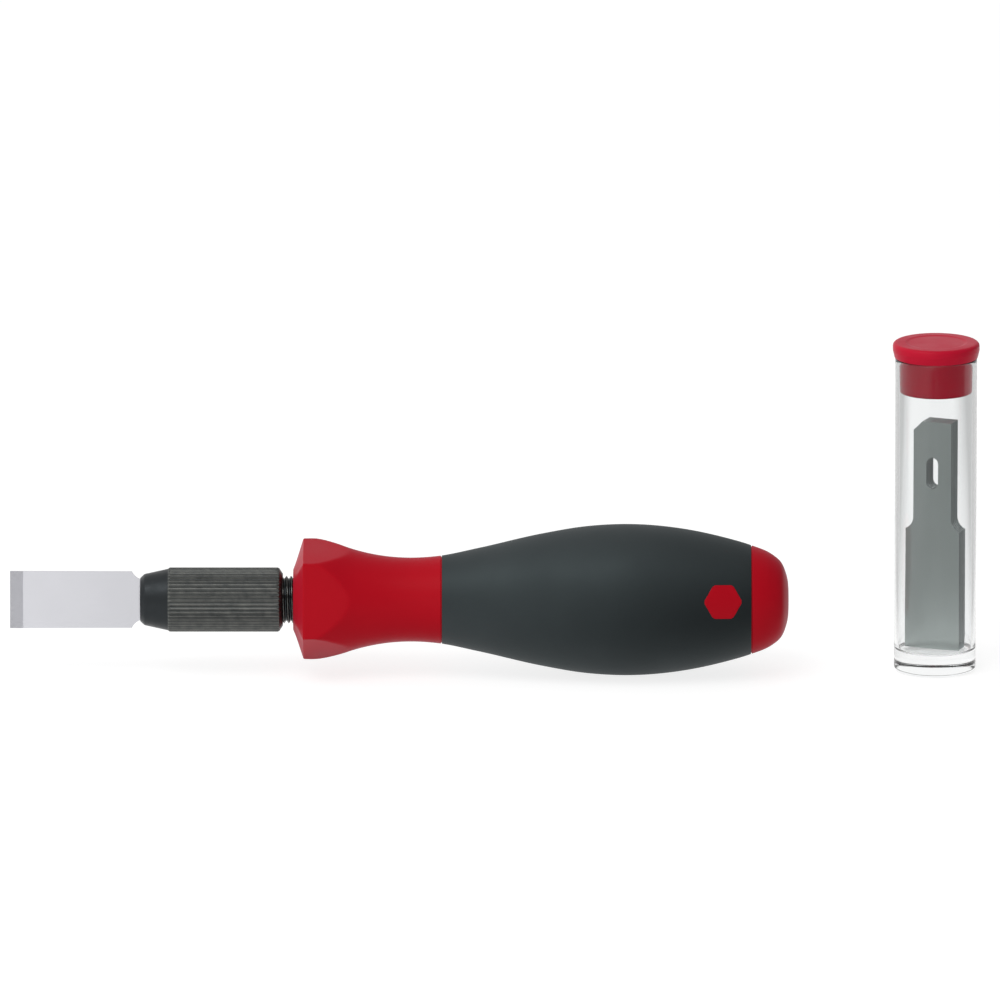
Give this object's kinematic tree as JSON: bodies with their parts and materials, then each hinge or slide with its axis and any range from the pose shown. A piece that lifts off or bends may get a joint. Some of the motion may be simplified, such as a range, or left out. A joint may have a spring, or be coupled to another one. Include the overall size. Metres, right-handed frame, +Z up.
{
  "type": "cleaning scraper",
  "caption": "Soft-grip scraper with a chisel blade held in a knurled collet chuck, lying on its side beside a capped clear tube of spare blades.",
  "frame": {"origin": "middle of the set's footprint, on the surface that it lies and stands on", "axes": "+X along the tool's axis, from the blade's edge to the butt and on to the tube; +Z up, along the tube's axis"},
  "size_m": [0.2202, 0.0344, 0.0763],
  "materials": {
    "red_moulding": "injection-moulded red plastic, satin",
    "soft_grip": "matt dark grey soft-touch elastomer",
    "black_steel": "black-oxide steel, turned and knurled",
    "turned_steel": "bright turned steel",
    "blade_steel": "ground and polished tool steel",
    "clear_plastic": "clear moulded polystyrene",
    "red_cap": "moulded red polyethylene"
  },
  "bodies": {
    "handle": {"handle_core": "red_moulding", "soft_grip": "soft_grip", "chuck_spindle": "black_steel"},
    "collet": {"collet": "turned_steel"},
    "sleeve": {"clamping_sleeve": "black_steel"},
    "blade": {"blade": "blade_steel"},
    "tube": {"storage_tube": "clear_plastic"},
    "cap": {"tube_cap": "red_cap"},
    "spare_1": {"spare_blade_1": "blade_steel"},
    "spare_2": {"spare_blade_2": "blade_steel"},
    "spare_3": {"spare_blade_3": "blade_steel"},
    "spare_4": {"spare_blade_4": "blade_steel"},
    "spare_5": {"spare_blade_5": "blade_steel"}
  },
  "joints": [
    {"name": "collet_slide", "type": "slide", "parent": "handle", "child": "collet", "axis": [-1, 0, 0], "range_m": [0, 0.002]},
    {"name": "sleeve_turn", "type": "hinge", "parent": "collet", "child": "sleeve", "pos_m": [-0.045, 0, 0.01717], "axis": [-1, 0, 0], "range_deg": [0, 720]},
    {"name": "blade_pull", "type": "slide", "parent": "collet", "child": "blade", "axis": [-1, 0, 0], "range_m": [0, 0.03]},
    {"name": "tube_lift", "type": "slide", "parent": "handle", "child": "tube", "axis": [0, 0, 1], "range_m": [0, 0.1]},
    {"name": "cap_pull", "type": "slide", "parent": "tube", "child": "cap", "axis": [0, 0, 1], "range_m": [0, 0.03]},
    {"name": "spare_lift_1", "type": "slide", "parent": "tube", "child": "spare_1", "axis": [0, 0, 1], "range_m": [0, 0.006]},
    {"name": "spare_lift_2", "type": "slide", "parent": "tube", "child": "spare_2", "axis": [0, 0, 1], "range_m": [0, 0.006]},
    {"name": "spare_lift_3", "type": "slide", "parent": "tube", "child": "spare_3", "axis": [0, 0, 1], "range_m": [0, 0.006]},
    {"name": "spare_lift_4", "type": "slide", "parent": "tube", "child": "spare_4", "axis": [0, 0, 1], "range_m": [0, 0.006]},
    {"name": "spare_lift_5", "type": "slide", "parent": "tube", "child": "spare_5", "axis": [0, 0, 1], "range_m": [0, 0.006]}
  ],
  "couplings": [
    {"joint": "sleeve_turn", "follows": "collet_slide", "rad_per_m": 6283.2}
  ]
}
